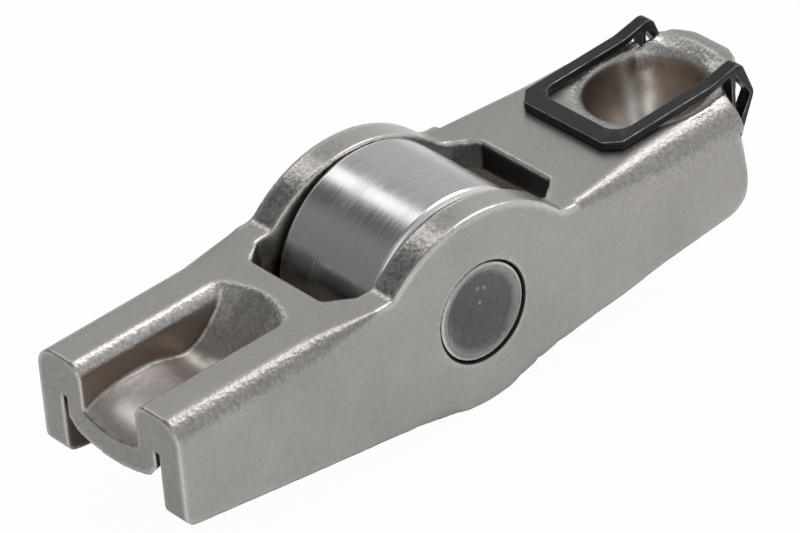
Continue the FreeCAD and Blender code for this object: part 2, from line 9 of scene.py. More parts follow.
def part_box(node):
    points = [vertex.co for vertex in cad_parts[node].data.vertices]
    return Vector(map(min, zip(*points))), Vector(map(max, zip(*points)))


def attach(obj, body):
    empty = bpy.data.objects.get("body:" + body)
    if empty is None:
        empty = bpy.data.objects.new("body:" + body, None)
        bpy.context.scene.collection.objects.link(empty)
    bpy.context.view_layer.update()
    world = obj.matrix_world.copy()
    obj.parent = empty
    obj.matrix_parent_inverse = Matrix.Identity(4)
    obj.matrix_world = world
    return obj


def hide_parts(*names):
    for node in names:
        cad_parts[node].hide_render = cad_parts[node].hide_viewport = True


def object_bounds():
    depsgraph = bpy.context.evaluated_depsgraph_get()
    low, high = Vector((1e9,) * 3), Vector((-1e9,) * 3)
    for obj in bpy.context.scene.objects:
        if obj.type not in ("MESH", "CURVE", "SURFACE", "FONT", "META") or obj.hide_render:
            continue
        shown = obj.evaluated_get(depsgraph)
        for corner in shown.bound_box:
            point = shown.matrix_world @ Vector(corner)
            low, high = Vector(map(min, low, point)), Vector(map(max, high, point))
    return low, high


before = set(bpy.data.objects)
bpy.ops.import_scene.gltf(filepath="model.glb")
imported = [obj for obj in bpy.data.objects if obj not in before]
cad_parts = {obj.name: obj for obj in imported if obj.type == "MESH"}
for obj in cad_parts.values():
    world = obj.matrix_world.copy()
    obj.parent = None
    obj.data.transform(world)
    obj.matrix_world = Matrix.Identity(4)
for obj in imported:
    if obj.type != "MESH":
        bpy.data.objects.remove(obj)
cad_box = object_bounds()


# Arm body: one stamping of folded sheet steel, tumbled after forming.
# The flats are satin grey; the sheet is stretched and grained where it is bent,
# and the sheared edges of the sheet are worn bright at their corners, with a painted highlight along them.
STEEL_GREY = (0.400, 0.385, 0.365, 1.0)
STEEL_DARK = (0.275, 0.262, 0.246, 1.0)
STEEL_BRIGHT = (0.500, 0.480, 0.458, 1.0)
WORN_GLINT_BRIGHT = (0.800, 0.780, 0.750, 1.0)
SHEARED_GREY = (0.230, 0.220, 0.208, 1.0)
END_GREY = (0.285, 0.274, 0.260, 1.0)
PIT_BROWN = (0.430, 0.375, 0.325, 1.0)
PAD_ROSE_SHEEN = (0.470, 0.432, 0.412, 1.0)
FOLD_BROWN = (0.430, 0.365, 0.310, 1.0)
COINED_AND_HIGHLIGHT_BRIGHT = (0.860, 0.830, 0.790, 1.0)
GAP_SHADE = (0.030, 0.028, 0.026, 1.0)
INSIDE_SHADE_BROWN = (0.170, 0.145, 0.125, 1.0)
CUT_DARK = (0.130, 0.120, 0.110, 1.0)
GRAIN_PITCH = 0.00030
CLOUD_SCALE = 170.0
SPECK_SCALE = 2600.0
MOTTLE_SPAN = (0.8, 1.2)


def new_group(name, inputs, outputs):
    """An empty shader node group with named sockets."""
    group = bpy.data.node_groups.new(name, "ShaderNodeTree")
    for label, kind, value in inputs:
        socket = group.interface.new_socket(name=label, in_out="INPUT", socket_type=kind)
        socket.default_value = value
    for label, kind in outputs:
        group.interface.new_socket(name=label, in_out="OUTPUT", socket_type=kind)
    return group, group.nodes.new("NodeGroupInput").outputs, group.nodes.new("NodeGroupOutput").inputs


def feed(tree, socket, value):
    """Link what comes from another node, or set a plain value."""
    if isinstance(value, bpy.types.NodeSocket):
        tree.links.new(value, socket)
    else:
        socket.default_value = value


def add_noise(tree, vector, scale, detail, roughness=0.5):
    node = tree.nodes.new("ShaderNodeTexNoise")
    for name, value in (("Vector", vector), ("Scale", scale), ("Detail", detail), ("Roughness", roughness)):
        feed(tree, node.inputs[name], value)
    return node.outputs["Fac"]


def add_math(tree, operation, *values):
    node = tree.nodes.new("ShaderNodeMath")
    node.operation = operation
    for socket, value in zip(node.inputs, values):
        feed(tree, socket, value)
    return node.outputs[0]


def add_range(tree, value, low, high, to_low=0.0, to_high=1.0):
    """Turn low to high into to_low to to_high, and hold still beyond them."""
    node = tree.nodes.new("ShaderNodeMapRange")
    tree.links.new(value, node.inputs["Value"])
    for name, limit in (("From Min", low), ("From Max", high), ("To Min", to_low), ("To Max", to_high)):
        feed(tree, node.inputs[name], limit)
    return node.outputs["Result"]


def add_mix(tree, factor, first, second, blend="MIX"):
    node = tree.nodes.new("ShaderNodeMix")
    node.data_type = "RGBA"
    node.blend_type = blend
    for index, value in ((0, factor), (6, first), (7, second)):
        feed(tree, node.inputs[index], value)
    return node.outputs[2]


def add_group(tree, group, vector, **values):
    """Place a shared node group in a material, with its own values."""
    node = tree.nodes.new("ShaderNodeGroup")
    node.node_tree = group
    tree.links.new(vector, node.inputs["Vector"])
    for name, value in values.items():
        node.inputs[name].default_value = value
    return node.outputs


def add_paint(tree, name):
    """Read one of the numbers that a piece's own mesh keeps."""
    node = tree.nodes.new("ShaderNodeAttribute")
    node.attribute_name = name
    return node.outputs["Fac"]


def add_axes(tree, vector):
    """The X, Y and Z of a vector."""
    node = tree.nodes.new("ShaderNodeSeparateXYZ")
    tree.links.new(vector, node.inputs["Vector"])
    return node.outputs


def add_axle_distance(tree, axes):
    """How far each point is from the axle's middle line."""
    squares = [add_math(tree, "MULTIPLY", axes[label], axes[label]) for label in ("X", "Z")]
    return add_math(tree, "SQRT", add_math(tree, "ADD", *squares))


def add_relief(tree, shader, height, depth):
    """Give the surface a fine relief, so many metres deep for a height of 1."""
    bump = tree.nodes.new("ShaderNodeBump")
    bump.inputs["Distance"].default_value = depth
    tree.links.new(height, bump.inputs["Height"])
    tree.links.new(bump.outputs["Normal"], shader.inputs["Normal"])


def new_material(name):
    material = bpy.data.materials.new(name)
    material.use_nodes = True
    tree = material.node_tree
    place = tree.nodes.new("ShaderNodeTexCoord").outputs["Object"]
    return material, tree, tree.nodes["Principled BSDF"], place


# Metal mottle: the soft grey cloudiness and fine speckle of handled steel
mottle, mottle_in, mottle_out = new_group(
    "metal_mottle",
    [("Vector", "NodeSocketVector", (0, 0, 0)),
     ("Cloud", "NodeSocketFloat", 0.06),
     ("Speck", "NodeSocketFloat", 0.06)],
    [("Value", "NodeSocketFloat"), ("Height", "NodeSocketFloat")])
clouds = add_noise(mottle, mottle_in["Vector"], CLOUD_SCALE, 3.0)
specks = add_noise(mottle, mottle_in["Vector"], SPECK_SCALE, 2.0)
cloud_swing = add_range(mottle, clouds, 0.3, 0.7, -1.0, 1.0)
speck_swing = add_range(mottle, specks, 0.25, 0.75, -1.0, 1.0)
swing = add_math(
    mottle, "ADD",
    add_math(mottle, "MULTIPLY", cloud_swing, mottle_in["Cloud"]),
    add_math(mottle, "MULTIPLY", speck_swing, mottle_in["Speck"]))
mottle.links.new(add_math(mottle, "ADD", swing, 1.0), mottle_out["Value"])
mottle.links.new(specks, mottle_out["Height"])

# Bend grain: the orange peel that opens up where the sheet is stretched round a bend
grain, grain_in, grain_out = new_group(
    "bend_grain",
    [("Vector", "NodeSocketVector", (0, 0, 0)), ("Scale", "NodeSocketFloat", 1.0 / GRAIN_PITCH)],
    [("Height", "NodeSocketFloat"), ("Light", "NodeSocketFloat")])
pebbles = grain.nodes.new("ShaderNodeTexVoronoi")
pebbles.feature = "SMOOTH_F1"
pebbles.inputs["Smoothness"].default_value = 0.6
grain.links.new(grain_in["Vector"], pebbles.inputs["Vector"])
grain.links.new(grain_in["Scale"], pebbles.inputs["Scale"])
fine = add_noise(grain, grain_in["Vector"], grain_in["Scale"], 4.0, 0.65)
peel_height = add_math(grain, "ADD", add_math(grain, "MULTIPLY", pebbles.outputs["Distance"], -0.7), fine)
grain.links.new(peel_height, grain_out["Height"])
grain.links.new(add_range(grain, peel_height, -0.15, 0.45), grain_out["Light"])

# The stamping's skin: the CAD solid's own surface, meshed evenly and eased at every edge
WELD = 1e-6
SKIN_DEPTH = 8
SKIN_SCALE = 0.95
EASING_ROUNDS = 2


def put_in_scene(name, data):
    """An object for a mesh, lamp or camera, placed in the scene."""
    thing = bpy.data.objects.new(name, data)
    bpy.context.scene.collection.objects.link(thing)
    return thing


def welded_copy(node):
    """A bmesh of a CAD node's mesh, with its loose triangles joined."""
    shell = bmesh.new()
    shell.from_mesh(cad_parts[node].data)
    bmesh.ops.remove_doubles(shell, verts=shell.verts, dist=WELD)
    return shell


def make_piece(name, shell, *materials):
    """Turn finished bmesh work into a smoothly shaded object of the scene."""
    mesh = bpy.data.meshes.new(name)
    shell.to_mesh(mesh)
    shell.free()
    mesh.shade_smooth()
    for material in materials:
        mesh.materials.append(material)
    return put_in_scene(name, mesh)


arm_body = make_piece("arm_stamping", welded_copy("rocker_arm_body"))
remesh = arm_body.modifiers.new("even_skin", "REMESH")
remesh.mode = "SHARP"
remesh.octree_depth = SKIN_DEPTH
remesh.scale = SKIN_SCALE
remesh.use_remove_disconnected = False
easing = arm_body.modifiers.new("eased_edges", "SMOOTH")
easing.factor = 0.5
easing.iterations = EASING_ROUNDS
depsgraph = bpy.context.evaluated_depsgraph_get()
skin = bpy.data.meshes.new_from_object(arm_body.evaluated_get(depsgraph))
skin.shade_smooth()
arm_body.modifiers.clear()
cad_copy = arm_body.data
arm_body.data = skin
bpy.data.meshes.remove(cad_copy)

count = len(skin.vertices)
pairs = np.empty(len(skin.edges) * 2, dtype=np.int64)
skin.edges.foreach_get("vertices", pairs)
pairs = pairs.reshape(-1, 2)
shares = np.bincount(pairs.ravel(), minlength=count)


def read_skin(name):
    """One row of three numbers for each vertex of the skin."""
    values = np.empty(count * 3)
    skin.vertices.foreach_get(name, values)
    return values.reshape(-1, 3)


def form_skin():
    """Move the skin's vertices to their new places, and return its new normals."""
    skin.vertices.foreach_set("co", (places / 1000.0).ravel())
    skin.update()
    return read_skin("normal")


def rise(span, values):
    """0 before the span, 1 after it, and a smooth rise along it."""
    start, end = span
    t = np.clip((values - start) / (end - start), 0.0, 1.0)
    return t * t * (3.0 - 2.0 * t)


def fall(span, values):
    """1 before the span, 0 after it, and a smooth fall along it."""
    return 1.0 - rise(span, values)


def spread(values, rounds):
    """Average each vertex with its neighbours, a few times over."""
    for _ in range(rounds):
        total = np.bincount(pairs[:, 0], values[pairs[:, 1]], minlength=count)
        total += np.bincount(pairs[:, 1], values[pairs[:, 0]], minlength=count)
        values = 0.5 * values + 0.5 * total / np.maximum(shares, 1)
    return values


def spread_places(rounds):
    """Where each vertex would be after a few rounds of easing."""
    return np.stack([spread(places[:, axis], rounds) for axis in range(3)], axis=1)


# Forming works in millimetres: x, y and z are columns of places and follow each change to it
places = read_skin("co") * 1000.0
facing = read_skin("normal")
x, y, z = places.T

# Socket mouth: the web rolls gently down towards the pit and then turns sharply into it
SOCKET_X = 23.7
MOUTH_RIM = 4.7
RIM_MARGIN = 0.03
MOUTH_OUTSIDE = 6.25
MOUTH_ROLL = ((0.30, 1), (0.20, 2), (0.35, 6))
WEB_TOP = 5.386
WEB_SLOPE = 0.0524
WEB_MIDDLE = 4.2
WEB_FACING = 0.25

from_socket = np.hypot(x - SOCKET_X, y)
inward = np.clip((MOUTH_OUTSIDE - from_socket) / (MOUTH_OUTSIDE - MOUTH_RIM), 0.0, 1.0)
mouth_drop = sum(drop * inward ** power for drop, power in MOUTH_ROLL)
mouth_top = WEB_TOP + (x - SOCKET_X) * WEB_SLOPE - mouth_drop
round_mouth = (from_socket > MOUTH_RIM - RIM_MARGIN) & (from_socket < MOUTH_OUTSIDE)
in_mouth = round_mouth & (z > WEB_MIDDLE) & (facing[:, 2] > WEB_FACING)
places[:, 2] = np.where(in_mouth, mouth_top, z)

# Clip notches: the tongue's root is full and fills the notch close up to the clip's leg
ROOT_START, ROOT_END, ROOT_TOP = (25.5, 27.0), (28.6, 30.0), (2.5, 4.2)
FILL_WIDE, FILL_SIDES = 0.40, ((2.0, 3.6), (3.9, 4.7))
FILL_LONG, FILL_BACK, FILL_FRONT = 0.28, (25.5, 26.8), (27.1, 27.5)
FILL_INNER, FILL_TOP = (3.6, 4.2), (3.0, 4.5)

side = np.abs(y)
at_root = rise(ROOT_START, x) * fall(ROOT_END, x) * rise(ROOT_TOP, z)
places[:, 1] += np.sign(y) * FILL_WIDE * at_root * rise(FILL_SIDES[0], side) * fall(FILL_SIDES[1], side)
in_notch = rise(FILL_BACK, x) * fall(FILL_FRONT, x) * rise(FILL_INNER, side) * rise(FILL_TOP, z)
places[:, 0] += FILL_LONG * in_notch

# Tongue: it widens behind its nose, and stands up a little at its root's sides and at its nose
TONGUE_WIDER, WIDER_START, WIDER_END = 0.20, (28.2, 29.2), (29.8, 30.8)
ROOT_LIFT, LIFT_SIDES, LIFT_TOP = 0.18, ((2.6, 3.6), (4.2, 4.6)), (3.6, 4.6)
NOSE_LIFT, NOSE_RISE, NOSE_TOP = 0.22, (28.8, 30.2), (3.0, 4.6)
NOSE_SHORTER, NOSE_LENGTH = 0.25, (28.6, 30.9)

behind_nose = rise(WIDER_START, x) * fall(WIDER_END, x) * rise(ROOT_TOP, z)
places[:, 1] *= 1.0 + TONGUE_WIDER * behind_nose
lifted = at_root * rise(LIFT_SIDES[0], side) * fall(LIFT_SIDES[1], side) * rise(LIFT_TOP, z)
places[:, 2] += ROOT_LIFT * lifted
places[:, 2] += NOSE_LIFT * rise(NOSE_RISE, x) * rise(NOSE_TOP, z)
places[:, 0] -= NOSE_SHORTER * rise(NOSE_LENGTH, x)

# Shoulder ends: the drawn corner falls away towards the top
FALL_AWAY = ((0.30, (1.8, 3.4)), (0.40, (2.8, 4.4)))
SHOULDER_START, SHOULDER_END, SHOULDER_SIDE = (26.0, 27.4), (27.8, 28.2), (5.0, 6.4)

fall_away = sum(depth * rise(span, z) for depth, span in FALL_AWAY)
at_shoulder = rise(SHOULDER_START, x) * fall(SHOULDER_END, x) * rise(SHOULDER_SIDE, side)
places[:, 0] -= fall_away * at_shoulder

# Ear undersides: the lower edge of each wall sags smoothly into the round of its ear
LOWER_EDGE = (
    (-17.0, -5.60), (-12.2, -6.05), (-9.9, -6.27), (-8.4, -6.44), (-6.9, -6.68), (-5.4, -6.99),
    (-4.6, -7.14), (-3.85, -7.28), (-3.1, -7.40), (-2.3, -7.50), (-1.56, -7.59), (-0.8, -7.65),
    (0.0, -7.67), (0.8, -7.61), (1.6, -7.49), (2.4, -7.34), (3.2, -7.16), (4.0, -6.97),
    (4.8, -6.76), (5.6, -6.50), (6.4, -6.23), (7.2, -6.00), (8.0, -5.80), (8.85, -5.65),
    (9.7, -5.51), (10.5, -5.38), (12.1, -5.16), (13.7, -4.94), (18.0, -4.33))
WALL_INNER = 5.3
LANE_WIDTH = 0.25
FIRST_LANE = -40.0
SAG_START, SAG_END, SAG_FADE = (-17.0, -12.0), (13.5, 18.0), (0.3, 2.6)
SAG_MOST, LIFT_MOST = 0.9, 0.2
EDGE_SINK = 0.06
FLUSH_REACH = 12.0
FLUSH_HEIGHT = 0.5

on_wall = np.abs(y) > WALL_INNER
lanes = np.floor((x - FIRST_LANE) / LANE_WIDTH).astype(int)
lowest = np.zeros(lanes.max() + 2)
np.minimum.at(lowest, lanes[on_wall], z[on_wall])
lowest = np.interp(x, (np.arange(len(lowest)) + 0.5) * LANE_WIDTH + FIRST_LANE, lowest)
lower_edge = np.interp(x, *zip(*LOWER_EDGE))
sag = (lower_edge - EDGE_SINK - lowest) * (rise(SAG_START, x) * fall(SAG_END, x))
places[:, 2] += np.clip(sag, -SAG_MOST, LIFT_MOST) * on_wall * fall(SAG_FADE, z - lowest)
above_edge = np.maximum(z - lower_edge, 0.0)
flush = np.where(above_edge < FLUSH_HEIGHT, lower_edge + above_edge ** 2 / FLUSH_HEIGHT, z)
places[:, 2] = np.where(on_wall & (np.abs(x) < FLUSH_REACH), flush, z)

# Local easing: where the forming tools left no sharp corner
EASED_START, EASED_END, EASED_SIDE = (26.0, 26.6), (27.6, 28.2), (4.9, 5.6)
HEEL_X, HEEL_REACH, HEEL_TOP = 5.0, (1.6, 3.0), (-5.4, -4.6)
SHOULDER_EASING = 0.8
LOCAL_ROUNDS = 6

shoulder_end = rise(EASED_START, x) * fall(EASED_END, x) * rise(EASED_SIDE, np.abs(y))
ear_heel = fall(HEEL_REACH, np.abs(np.abs(x) - HEEL_X)) * fall(HEEL_TOP, z)
eased_here = np.maximum(SHOULDER_EASING * shoulder_end, ear_heel)
places += (spread_places(LOCAL_ROUNDS) - places) * eased_here[:, None]

# Burrs: the punch left a ragged lip on the window's edge beside the socket web
EDGE_STAND_OUT = 0.02
WINDOW_END, WINDOW_SIDE, WINDOW_BOTTOM = (9.0, 12.4), 5.6, 3.3
BURR_RISE, BURR_TALL, BURR_DEEP = 0.06, 0.14, 0.10
BURR_COARSE, BURR_FINE, FINE_SHARE = 1.7, 4.0, 0.7

facing = form_skin()
side = np.abs(y)
stand_out = np.einsum("ij,ij->i", places - spread_places(2), facing)
on_lip = (side < WINDOW_SIDE) & (z > WINDOW_BOTTOM) & (x > WINDOW_END[0]) & (x < WINDOW_END[1])
for index in np.nonzero(on_lip & (stand_out > EDGE_STAND_OUT))[0]:
    spot = Vector(places[index])
    ragged = noise.noise(spot * BURR_COARSE) + FINE_SHARE * noise.noise(spot * BURR_FINE)
    places[index, 2] += BURR_RISE + BURR_TALL * ragged
    places[index, 0] -= BURR_DEEP * ragged
facing = form_skin()


def paint(name, values, rounds=0):
    """Keep one number for each vertex, softened first, under a name that the material reads."""
    values = np.clip(spread(values * 1.0, rounds), 0.0, 1.0)
    skin.attributes.new(name, "FLOAT", "POINT").data.foreach_set("value", values.astype(np.float32))


# Edge lines: worn bright where a vertex stands out from its neighbours, and along the ears' tops, with a
# painted highlight along them
EDGE_SHARP = (EDGE_STAND_OUT, 0.07)
EAR_RADIUS, EAR_BOTTOM, EAR_REACH, EAR_INNER = 6.6, 3.4, 9.5, 5.2
EAR_TURN_START, EAR_TURN_END = (0.15, 0.45), (0.93, 0.99)

tilt = np.abs(facing[:, 1])
from_axle = np.hypot(x, z)
ear_edges = (from_axle > EAR_RADIUS) & (z > EAR_BOTTOM) & (np.abs(x) < EAR_REACH) & (side > EAR_INNER)
ear_glint_line = ear_edges * rise(EAR_TURN_START, tilt) * fall(EAR_TURN_END, tilt)
paint("worn_edge_glint", np.maximum(spread(rise(EDGE_SHARP, stand_out), 1), 2.0 * spread(ear_glint_line, 2)))
# Painted shade: concave corners, where a vertex sinks below its neighbours, are darkened
paint("inner_corner_shade", rise(EDGE_SHARP, -stand_out), 1)

# Pit: the drawn ball socket, brownish within, with painted highlight streaks down it, laid out like polished
# marks that the punch drew
PIT_RADIUS, PIT_LIP, PIT_LIP_TURN = 4.60, 4.85, 0.5
STREAK_RISE = (0.8, 2.6)
STREAKS = ((66.0, 7.0, 0.8), (45.0, 6.0, 0.9), (-35.0, 8.0, 0.6), (-100.0, 10.0, 0.8), (150.0, 9.0, 0.7),
           (215.0, 8.0, 0.6))

from_socket = np.hypot(x - SOCKET_X, y)
under_lip = (from_socket < PIT_LIP) & (facing[:, 2] < PIT_LIP_TURN) & (z > 0.0)
in_pit = (from_socket < PIT_RADIUS) | under_lip
around = np.degrees(np.arctan2(y, x - SOCKET_X))
streaks = 0.0
for place_round, half_width, strength in STREAKS:
    away = (around - place_round + 180.0) % 360.0 - 180.0
    streaks = streaks + strength * np.exp(-(away / half_width) ** 2)
paint("pit", in_pit)
paint("streak_highlight", streaks * in_pit * rise(STREAK_RISE, from_socket))

# Valve pad: the crowned rubbing pad between the folded flanges, rosy and lightened as a painted sheen, with
# painted highlights on its crease and front end
CHANNEL_SIDE, CHANNEL_END = 3.2, -11.0
PAD_END, PAD_TILT = -17.0, 0.7
FRONT_HIGHLIGHT_SHARE, FRONT_SPAN = 0.45, (-24.6, -27.0)
CREASE_X, CREASE_WIDTH = -18.7, 0.45
FOLD_TILT, FOLD_TOP = 0.9, 3.2

between_flanges = (side < CHANNEL_SIDE) & (x < CHANNEL_END)
on_pad = between_flanges & (x < PAD_END) & (tilt < PAD_TILT)
paint("pad", on_pad, 3)
paint("pad_front_highlight", FRONT_HIGHLIGHT_SHARE * spread(on_pad * 1.0, 3) * rise(FRONT_SPAN, x))
paint("crease", np.exp(-((x - CREASE_X) / CREASE_WIDTH) ** 2) * spread(on_pad * 1.0, 2))
paint("fold", between_flanges & (tilt > FOLD_TILT) & (z < FOLD_TOP), 2)

# Coined faces: pressed hard and painted bright as a highlight, on the flanges' inner bends and round the
# socket's mouth
COIN_SIDE, COIN_END, COIN_BOTTOM, COIN_TILT = (1.7, 4.7), -12.5, 2.3, (0.12, 0.93)
COIN_RIM, COIN_FACING = 4.65, 0.2

on_coin = (side > COIN_SIDE[0]) & (side < COIN_SIDE[1]) & (x < COIN_END) & (z > COIN_BOTTOM)
on_coin &= (tilt > COIN_TILT[0]) & (tilt < COIN_TILT[1])
on_mouth = (from_socket > COIN_RIM) & (from_socket < MOUTH_OUTSIDE) & (z > WEB_MIDDLE)
on_mouth &= facing[:, 2] > COIN_FACING
paint("coined_highlight", spread((on_coin | on_mouth) * 1.0, 3) * ~in_pit)

# Bends: where the surface turns between the flats, and where the wall is stretched at the shoulder
TURN_START, FLAT_LIMIT = (0.004, 0.05), 0.98
BEND_BOTTOM = -1.0
CUT_END_X, WALL_OUTER = -27.9, 7.9
STRETCH_SHARE, STRETCH_SIDE = 0.6, 7.0
STRETCH_START, STRETCH_RISE = (11.6, 14.0), (0.4, 2.8)

squareness = np.max(np.abs(facing), axis=1)
flat_outside = ((x < CUT_END_X) | (side > WALL_OUTER)) & (squareness > FLAT_LIMIT)
turning = rise(TURN_START, 1.0 - squareness) * (z > BEND_BOTTOM) * ~in_pit * ~on_pad * ~flat_outside
stretched = rise(STRETCH_START, x) * (side > STRETCH_SIDE) * rise(STRETCH_RISE, z) * STRETCH_SHARE
paint("bend", np.maximum(spread(turning, 2) * ~in_pit, stretched))

# Cut faces: the ears' tops, the wall ends beside the pad and the window's end, all sheared
TOP_RADIUS, TOP_REACH, TOP_BOTTOM, TOP_TILT = 7.4, 8.6, 4.6, 0.6
END_FACING, WINDOW_FACING = -0.7, -0.6
WINDOW_CUT_X, WINDOW_CUT_REACH, WINDOW_CUT_TOP = 10.7, 0.5, 4.5

ear_tops = (from_axle > TOP_RADIUS) & (np.abs(x) < TOP_REACH) & (z > TOP_BOTTOM) & (side > WALL_INNER)
cut_ends = (x < CUT_END_X) & (facing[:, 0] < END_FACING)
window_cut = (np.abs(x - WINDOW_CUT_X) < WINDOW_CUT_REACH) & (facing[:, 0] < WINDOW_FACING)
paint("sheared", ear_tops & (tilt < TOP_TILT) | cut_ends, 1)
paint("cut_end", cut_ends)
paint("window_cut", window_cut & (side < WINDOW_SIDE) & (z < WINDOW_CUT_TOP), 1)

# Inner walls: painted shade, dull and brown, on the low walls that face inwards
INSIDE_SIDE, INSIDE_TOP, INSIDE_FACING = 5.9, 2.6, -0.7

faces_inwards = facing[:, 1] * np.sign(y) < INSIDE_FACING
paint("inside_shade", (side < INSIDE_SIDE) & faces_inwards & (z < INSIDE_TOP) & ~between_flanges & ~in_pit, 1)

# Tumbled sheet steel: each painted place has its own tone and its own smoothness
BURNISHED_SPAN = (-0.0045, 0.0010)
WALL_FACE = (0.0076, 0.0077)
PIN_GAP_SHADE = (0.00415, 0.00409)
BEND_SHARE, CORNER_SHADE_SHARE, WORN_GLINT_SHARE = 0.65, 0.55, 0.85
BEND_RELIEF = (0.006, 0.36)
SHEARED_CALM = 0.5
FINE_RELIEF = 0.014
RELIEF_DEPTH = 0.00010
FLAT_DULL = (0.42, 0.32)
BEND_DULL, SHEARED_DULL, PAD_DULL, PIT_DULL = 0.34, 0.29, 0.34, 0.33

steel, tree, shader, place = new_material("tumbled_sheet_steel")
cloudy = add_group(tree, mottle, place)
peel = add_group(tree, grain, place)
spot = add_axes(tree, place)
bend, pad, pit, sheared, crease = (
    add_paint(tree, name) for name in ("bend", "pad", "pit", "sheared", "crease"))
bend_tone = add_mix(tree, peel["Light"], STEEL_DARK, STEEL_BRIGHT)
coined_highlight_tone = add_mix(tree, peel["Light"], STEEL_GREY, COINED_AND_HIGHLIGHT_BRIGHT)
bend_tone = add_mix(tree, add_paint(tree, "coined_highlight"), bend_tone, coined_highlight_tone)
pit_tone = add_mix(tree, add_paint(tree, "streak_highlight"), PIT_BROWN, COINED_AND_HIGHLIGHT_BRIGHT)
burnished = add_range(tree, spot["X"], *BURNISHED_SPAN)
sheared_tone = add_mix(tree, burnished, SHEARED_GREY, STEEL_BRIGHT)
sheared_tone = add_mix(tree, peel["Light"], sheared_tone, STEEL_BRIGHT)
end_tone = add_mix(tree, peel["Light"], END_GREY, SHEARED_GREY)
outside = add_range(tree, add_math(tree, "ABSOLUTE", spot["Y"]), *WALL_FACE)
# Painted shade: a dark ring on the ears' outer faces in the gap round the pin
pin_gap_shade = add_range(tree, add_axle_distance(tree, spot), *PIN_GAP_SHADE)
tone = STEEL_GREY
for mask, colour in (
        (pad, PAD_ROSE_SHEEN),
        (add_math(tree, "MAXIMUM", add_paint(tree, "pad_front_highlight"), crease), COINED_AND_HIGHLIGHT_BRIGHT),
        (add_paint(tree, "fold"), FOLD_BROWN),
        (pit, pit_tone),
        (add_paint(tree, "inside_shade"), INSIDE_SHADE_BROWN),
        (add_paint(tree, "window_cut"), CUT_DARK),
        (add_math(tree, "MULTIPLY", bend, BEND_SHARE), bend_tone),
        (sheared, sheared_tone),
        (add_paint(tree, "cut_end"), end_tone),
        (add_math(tree, "MULTIPLY", add_paint(tree, "inner_corner_shade"), CORNER_SHADE_SHARE), STEEL_DARK),
        (add_math(tree, "MULTIPLY", add_paint(tree, "worn_edge_glint"), WORN_GLINT_SHARE), WORN_GLINT_BRIGHT),
        (add_math(tree, "MULTIPLY", pin_gap_shade, outside), GAP_SHADE)):
    tone = add_mix(tree, mask, tone, colour)
tone = add_mix(tree, 1.0, tone, cloudy["Value"], "MULTIPLY")
tree.links.new(tone, shader.inputs["Base Color"])
shader.inputs["Metallic"].default_value = 1.0
dullness = add_range(tree, cloudy["Value"], *MOTTLE_SPAN, *FLAT_DULL)
for mask, dull in ((bend, BEND_DULL), (sheared, SHEARED_DULL), (pad, PAD_DULL), (pit, PIT_DULL)):
    dullness = add_range(tree, mask, 0.0, 1.0, dullness, dull)
tree.links.new(dullness, shader.inputs["Roughness"])
calm = add_range(tree, sheared, 0.0, 1.0, 1.0, SHEARED_CALM)
bend_depth = add_math(tree, "MULTIPLY", add_range(tree, bend, 0.0, 1.0, *BEND_RELIEF), calm)
bend_relief = add_math(tree, "MULTIPLY", peel["Height"], bend_depth)
fine_relief = add_math(tree, "MULTIPLY", cloudy["Height"], FINE_RELIEF)
add_relief(tree, shader, add_math(tree, "ADD", bend_relief, fine_relief), RELIEF_DEPTH)
skin.materials.append(steel)
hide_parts("rocker_arm_body")
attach(arm_body, "arm")


# Axle pin: a hardened steel bar, turned with a chamfer at each end and staked in the ears.
# Staking presses the middle of each end face in and leaves a bright ring round it;
# the pressed face is dark from the heat treatment, with a few bright specks.
PIN_STEPS = 96
PIN_RADIUS = 0.004
PIN_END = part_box("axle_pin")[1].y
PIN_PROFILE = (
    (1.000, -0.00045), (0.985, -0.00015), (0.955, -0.00003), (0.915, 0.0), (0.855, -0.00002),
    (0.815, -0.00008), (0.775, -0.00019), (0.720, -0.00025), (0.550, -0.00028), (0.300, -0.00029),
    (0.0, -0.00029))
PRESSED_DARK = (0.125, 0.127, 0.126, 1.0)
RING_GREY = (0.265, 0.262, 0.256, 1.0)
RIM_HIGHLIGHT = (0.560, 0.550, 0.535, 1.0)
DINT_BRIGHT = (0.50, 0.50, 0.49, 1.0)
RING_START = (0.00285, 0.00335)
CHAMFER_START = (0.00362, 0.00376)
DINT_SCALE, DINT_SIZE, DINT_SHARE = 1300.0, (0.30, 0.12), 0.5
DINT_PATCHES, PATCH_EDGE = 420.0, (0.55, 0.62)
DINT_DEPTH = 0.00003
PRESSED_DULL, RING_DULL = 0.38, 0.26


def turn(profile, steps):
    """Turn a line of (radius, place along the axle) points once round the axle."""
    lathe = bmesh.new()
    points = [lathe.verts.new((0.0, along, radius)) for radius, along in profile]
    lines = [lathe.edges.new(pair) for pair in zip(points, points[1:])]
    bmesh.ops.spin(
        lathe, geom=points + lines, cent=(0.0, 0.0, 0.0), axis=(0.0, 1.0, 0.0), dvec=(0.0, 0.0, 0.0),
        angle=math.tau, steps=steps, use_merge=True)
    bmesh.ops.remove_doubles(lathe, verts=lathe.verts, dist=1e-7)
    bmesh.ops.recalc_face_normals(lathe, faces=lathe.faces)
    return lathe


pin_steel, tree, shader, place = new_material("hardened_pin_steel")
cloudy = add_group(tree, mottle, place, Cloud=0.15, Speck=0.12)
radius = add_axle_distance(tree, add_axes(tree, place))
ring_part = add_range(tree, radius, *RING_START)
chamfer = add_range(tree, radius, *CHAMFER_START)
dints = tree.nodes.new("ShaderNodeTexVoronoi")
dints.inputs["Scale"].default_value = DINT_SCALE
tree.links.new(place, dints.inputs["Vector"])
scarce = add_range(tree, add_noise(tree, place, DINT_PATCHES, 1.0), *PATCH_EDGE)
specks = add_math(tree, "MULTIPLY", add_range(tree, dints.outputs["Distance"], *DINT_SIZE), scarce)
tone = add_mix(tree, ring_part, PRESSED_DARK, RING_GREY)
